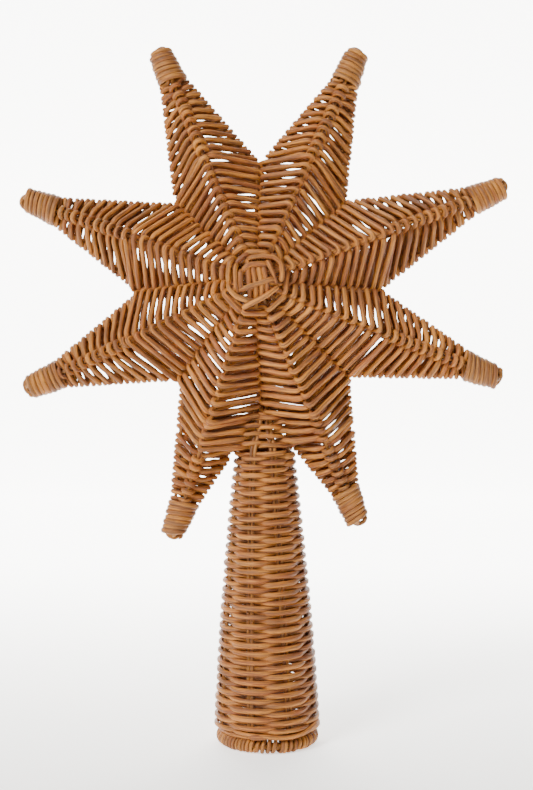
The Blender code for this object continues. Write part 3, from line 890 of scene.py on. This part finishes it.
# The weaver's other end is laid double over the front of the last rows.
foot_turns = np.radians(np.array((-50.0, -36.0, -18.0, 0.0, 14.0, 30.0, 46.0, 64.0, 80.0, 96.0)))
foot_heights = np.array((0.0104, 0.0097, 0.0093, 0.0090, 0.0082, 0.0081, 0.0090, 0.0110, 0.0124, 0.0130))
foot_radii = np.array((0.0228, 0.0247, 0.0254, 0.0256, 0.0256, 0.0257, 0.0257, 0.0257, 0.0256, 0.0240))
points, outward = on_cone(foot_turns, foot_heights, foot_radii)
cone_canes.append(woven_core(points, outward, 0.92 * CONE_WEAVER_RADIUS, blur=0.0020))
# A ring of the same core lies between the hoop and the lowest row.
RING_HEIGHT = 0.0078
RING_RADIUS = 0.0229
ring_turns = np.linspace(0, 2 * math.pi, 120)
ring = on_cone(ring_turns, np.full_like(ring_turns, RING_HEIGHT), np.full_like(ring_turns, RING_RADIUS))
cone_canes.append((*ring, 0.9 * CONE_WEAVER_RADIUS, 1.0))
piece = cane_mesh("cone_weaver", cone_canes)
piece.data.materials.append(weaver_rattan)
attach(piece, "root")
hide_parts("cone_sleeve")

# Each double stake is two cores side by side, nearly touching. Their last two points are inside the star.
STAKE_HEIGHTS = np.array((0.0080, 0.060, 0.110, 0.146, 0.156, 0.168))
STAKE_RADII_IN_STAR = (0.0066, 0.0040)
SIDE_BY_SIDE = 1.05
STAKE_STRAY = 0.006
stake_canes = []
for stake in range(CONE_STAKES):
    for half in (-1, 1):
        radii = cone_radius(STAKE_HEIGHTS) - CONE_STAKES_SUNK
        radii[-2:] = STAKE_RADII_IN_STAR
        turns = cone_turn(np.full(len(radii), float(stake)), STAKE_HEIGHTS)
        turns += half * SIDE_BY_SIDE * CONE_STAKE_RADIUS / radii
        turns += chance.normal(0, STAKE_STRAY, len(radii))
        points, outward = on_cone(turns, STAKE_HEIGHTS, radii)
        stake_canes.append(woven_core(points, outward, CONE_STAKE_RADIUS, STAKE_STEP, 0.0020))
piece = cane_mesh("cone_stakes", stake_canes)
piece.data.materials.append(stake_rattan)
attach(piece, "root")
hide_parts("cone_sleeve")

# Base hoop
# A ring of core wound round and round with reed, which also binds the foot of the cone. The winding
# starts and ends near the front, where the last few wraps lie loose and apart.
HOOP_X = 0.0018
HOOP_RADIUS = 0.0220
HOOP_TUBE = 0.0035
HOOP_PITCH = 0.00185
HOOP_REED = 0.00084
HOOP_REED_WIDE = 1.15
POINTS_A_WRAP = 22
LOOSE_FROM, LOOSE_TO = -18.0, 42.0
LOOSE_PITCH = 0.0025
LOOSE_STANDS_OFF = 0.00015
# The wraps are tight again this many degrees past the loose ones, and tighten over so many.
TIGHTENS_PAST, TIGHTENS_OVER = 4, 6
# How the wraps stray, the tight ones and the loose ones: every so many radians, and how far.
HOOP_UNEVEN = (5.0, 0.00010)
LOOSE_UNEVEN = (4.0, 0.00025)
# One of the loose wraps lies on a slant, this many degrees along the ring from its place.
SLANTED_WRAP = 5
SLANT = 3.4
turn_at = [LOOSE_FROM - 360]
while turn_at[-1] < LOOSE_FROM:
    loose = turn_at[-1] + 360 < LOOSE_TO
    turn_at.append(turn_at[-1] + math.degrees((LOOSE_PITCH if loose else HOOP_PITCH) / HOOP_RADIUS))
wraps = len(turn_at) - 1
turn_at[SLANTED_WRAP] += SLANT
angles = np.arange(0, wraps * 2 * math.pi, 2 * math.pi / POINTS_A_WRAP)
ring_turn = np.radians(np.interp(angles / (2 * math.pi), np.arange(wraps + 1), turn_at))
loose = smooth((LOOSE_TO - 360 + TIGHTENS_PAST - np.degrees(ring_turn)) / TIGHTENS_OVER)
uneven = waver(angles, *HOOP_UNEVEN) + loose * (LOOSE_STANDS_OFF + waver(angles, *LOOSE_UNEVEN))


def round_hoop(turns):
    """Directions from the hoop's axis at these angles, to the right of its front."""
    return np.stack((np.sin(turns), -np.cos(turns), np.zeros_like(turns)), axis=1)


upwards = np.array((0.0, 0.0, 1.0))
hoop_middle = np.array((HOOP_X, 0.0, HOOP_TUBE))
ups = np.cos(angles)[:, None] * round_hoop(ring_turn) + np.sin(angles)[:, None] * upwards
points = round_hoop(ring_turn) * HOOP_RADIUS + hoop_middle
points = points + ups * (HOOP_TUBE - HOOP_REED + uneven)[:, None]
points[:, 2] = np.maximum(points[:, 2], HOOP_REED)
core = round_hoop(np.linspace(0, 2 * math.pi, 90)) * HOOP_RADIUS + hoop_middle
piece = cane_mesh("base_hoop_reed", [
    (points, ups, HOOP_REED, HOOP_REED_WIDE),
    (core, np.tile(upwards, (len(core), 1)), HOOP_TUBE - 2 * HOOP_REED, 1.0),
])
piece.data.materials.append(wound_reed)
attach(piece, "root")
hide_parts("base_hoop")

# Floor
# A plain pale studio paper that lies under the topper and curves up behind it. It glows behind the topper as
# painted light, in place of a lamp on the paper, and lights the topper too; it fades to plain paper in front
# and at the sides.
PAPER_HALF_WIDTH = 6.0
PAPER_FRONT = -4.0
PAPER_TOP = 5.0
SWEEP_FROM = 1.4
SWEEP_RADIUS = 0.6
SWEEP_STEPS = 12
floor_verts = []
for x in (-PAPER_HALF_WIDTH, PAPER_HALF_WIDTH):
    floor_verts.append((x, PAPER_FRONT, 0.0))
    for step in range(SWEEP_STEPS + 1):
        angle = math.pi / 2 * step / SWEEP_STEPS
        forward, up = SWEEP_RADIUS * math.sin(angle), SWEEP_RADIUS * (1 - math.cos(angle))
        floor_verts.append((x, SWEEP_FROM + forward, up))
    floor_verts.append((x, SWEEP_FROM + SWEEP_RADIUS, PAPER_TOP))
half = len(floor_verts) // 2
floor_faces = [(i, i + half, i + half + 1, i + 1) for i in range(half - 1)]
floor_mesh = bpy.data.meshes.new("studio_sweep")
floor_mesh.from_pydata(floor_verts, [], floor_faces)
floor_mesh.shade_smooth()
floor = bpy.data.objects.new("studio_sweep", floor_mesh)
bpy.context.scene.collection.objects.link(floor)
# White uncoated paper: matt, with no sheen to show where the lamps are. The painted glow grows with depth,
# and fades with the distance to either side.
GLOW_DEPTHS = {"From Min": -0.25, "From Max": 0.7, "To Min": 0.3, "To Max": 7.0}
GLOW_SIDES = {"From Min": 0.8, "From Max": 1.6, "To Min": 1.0, "To Max": 0.1}
paper = bpy.data.materials.new("white_studio_paper")
paper.use_nodes = True
tree = paper.node_tree
shader = tree.nodes["Principled BSDF"]
shader.inputs["Base Color"].default_value = linear("F8F7F3")
shader.inputs["Roughness"].default_value = 0.9
shader.inputs["Emission Color"].default_value = linear("FFFEFB")
place = add(tree, "ShaderNodeTexCoord").outputs["Object"]
place = add(tree, "ShaderNodeSeparateXYZ", {"Vector": place})
aside = add(tree, "ShaderNodeMath", {0: place.outputs["X"]}, operation="ABSOLUTE").outputs[0]
glow, fade = (
    add(tree, "ShaderNodeMapRange", {"Value": value, **limits}, interpolation_type="SMOOTHSTEP")
    for value, limits in ((place.outputs["Y"], GLOW_DEPTHS), (aside, GLOW_SIDES))
)
inputs = {0: glow.outputs["Result"], 1: fade.outputs["Result"]}
glow = add(tree, "ShaderNodeMath", inputs, operation="MULTIPLY").outputs[0]
tree.links.new(glow, shader.inputs["Emission Strength"])
floor_mesh.materials.append(paper)

# Light and camera
# A large soft key from the upper left and a weak fill from the right, both aimed at the topper, in a
# dim white room. The camera stands 0.6 m in front, level with the lower part of the star.
LAMP_AIM = np.array((0, 0, 0.2))
ROOM_LIGHT = 0.12
for name, place, size, power in (
    ("key", (-1.0, -1.2, 1.35), 0.6, 60.0),
    ("fill", (1.5, -1.4, 0.5), 1.2, 2.5),
):
    lamp = bpy.data.lights.new(name, "AREA")
    lamp.size = size
    lamp.energy = power
    light = bpy.data.objects.new(name, lamp)
    light.location = place
    aim = LAMP_AIM - np.array(place)
    light.rotation_euler = (math.atan2(math.hypot(aim[0], aim[1]), -aim[2]), 0, math.atan2(-aim[0], aim[1]))
    bpy.context.scene.collection.objects.link(light)
world = bpy.data.worlds.new("studio")
world.use_nodes = True
world.node_tree.nodes["Background"].inputs["Color"].default_value = linear("FFFFFF")
world.node_tree.nodes["Background"].inputs["Strength"].default_value = ROOM_LIGHT
bpy.context.scene.world = world

lens = bpy.data.cameras.new("camera")
lens.sensor_fit = "VERTICAL"
lens.sensor_height = 24.0
lens.lens = 36.46
camera = bpy.data.objects.new("camera", lens)
camera.location = (0.0014, -0.600, 0.1727)
camera.rotation_euler = (math.pi / 2, 0, 0)
bpy.context.scene.collection.objects.link(camera)
bpy.context.scene.camera = camera
